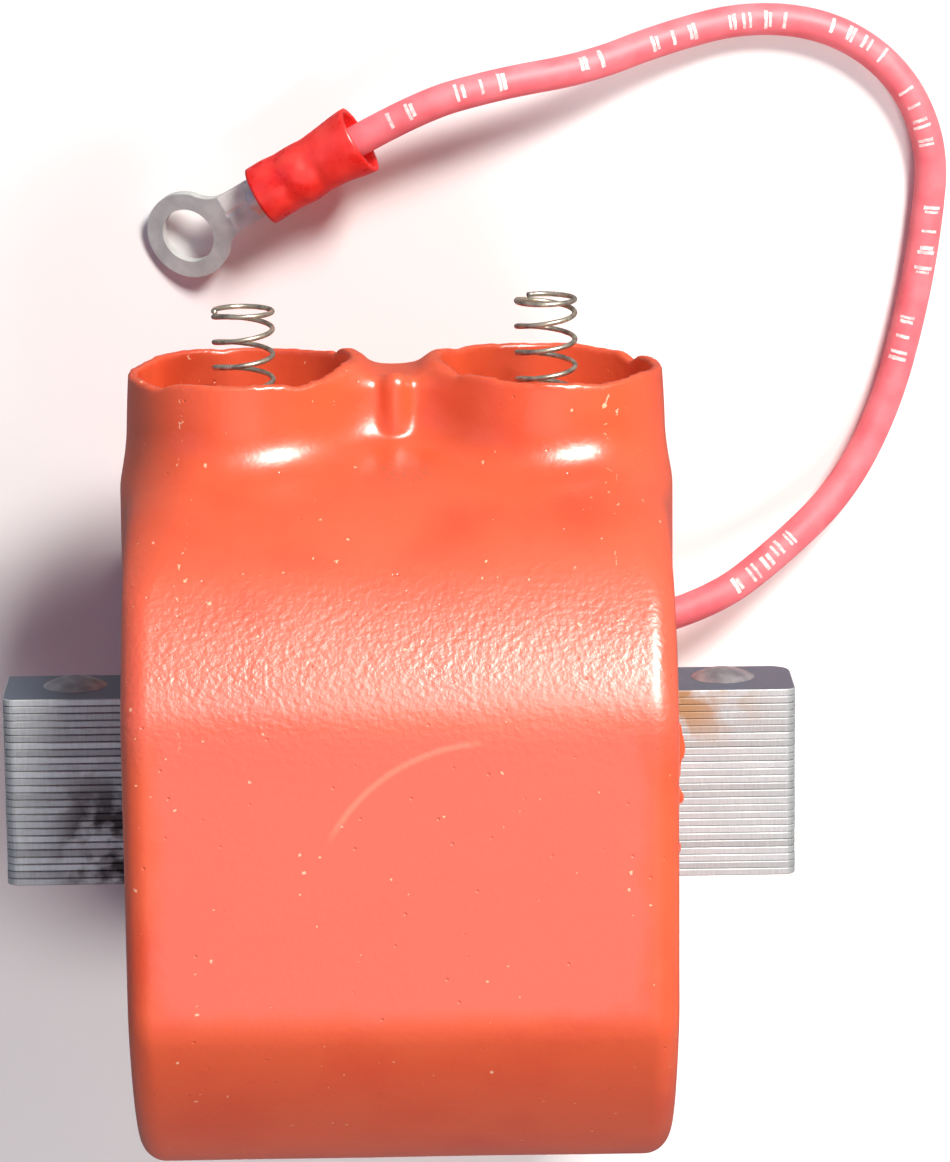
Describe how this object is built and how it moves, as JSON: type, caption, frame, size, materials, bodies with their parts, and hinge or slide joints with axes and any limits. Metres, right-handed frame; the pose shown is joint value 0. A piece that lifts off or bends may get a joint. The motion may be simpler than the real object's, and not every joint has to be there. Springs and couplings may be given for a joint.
{
  "type": "ignition coil",
  "caption": "Moulded magneto ignition coil on a laminated steel core, with two lead sockets, spring contacts and a short lead ending in a ring terminal.",
  "frame": {"origin": "on the casing's flat back, below the middle of the core", "axes": "+X along the laminated core, +Y towards the lead sockets, +Z out of the flat front pad"},
  "size_m": [0.0839, 0.0965, 0.0584],
  "materials": {
    "casing_plastic": "moulded orange-red casting resin, glossy with fine pits and pebbling",
    "lamination_steel": "bare punched electrical steel, lightly rusted",
    "rivet_steel": "headed steel rivet, dull",
    "former_board": "phenolic board",
    "enamelled_copper": "enamelled copper wire",
    "insulating_paper": "varnished paper",
    "contact_brass": "stamped brass, tarnished",
    "spring_steel": "drawn spring wire with a straw tint",
    "lead_insulation": "extruded pink-red vinyl insulation, satin",
    "tinned_copper": "tin-plated copper, dull",
    "sleeve_vinyl": "translucent red vinyl"
  },
  "bodies": {
    "coil": {"coil_casing": "casing_plastic", "core_laminations": "lamination_steel", "core_rivets": "rivet_steel", "core_tube": "former_board", "left_winding_cheek": "former_board", "right_winding_cheek": "former_board", "primary_winding": "enamelled_copper", "primary_wrap": "insulating_paper", "secondary_winding": "enamelled_copper", "secondary_wrap": "insulating_paper", "ground_tail": "enamelled_copper", "primary_tail": "enamelled_copper", "left_secondary_tail": "enamelled_copper", "right_secondary_tail": "enamelled_copper", "left_socket_contact": "contact_brass", "right_socket_contact": "contact_brass", "lead_joint": "tinned_copper", "lead_inner_run": "lead_insulation", "lead_wire": "lead_insulation", "lead_strands": "tinned_copper", "ring_terminal": "tinned_copper", "terminal_sleeve": "sleeve_vinyl"},
    "left_spring": {"left_contact_spring": "spring_steel"},
    "right_spring": {"right_contact_spring": "spring_steel"}
  },
  "joints": [
    {"name": "left_spring_press", "type": "slide", "parent": "coil", "child": "left_spring", "axis": [0, 1, 0], "range_m": [-0.01, 0], "stiffness_N_per_m": 420, "deforming": ["left_contact_spring"]},
    {"name": "right_spring_press", "type": "slide", "parent": "coil", "child": "right_spring", "axis": [0, 1, 0], "range_m": [-0.01, 0], "stiffness_N_per_m": 420, "deforming": ["right_contact_spring"]}
  ]
}
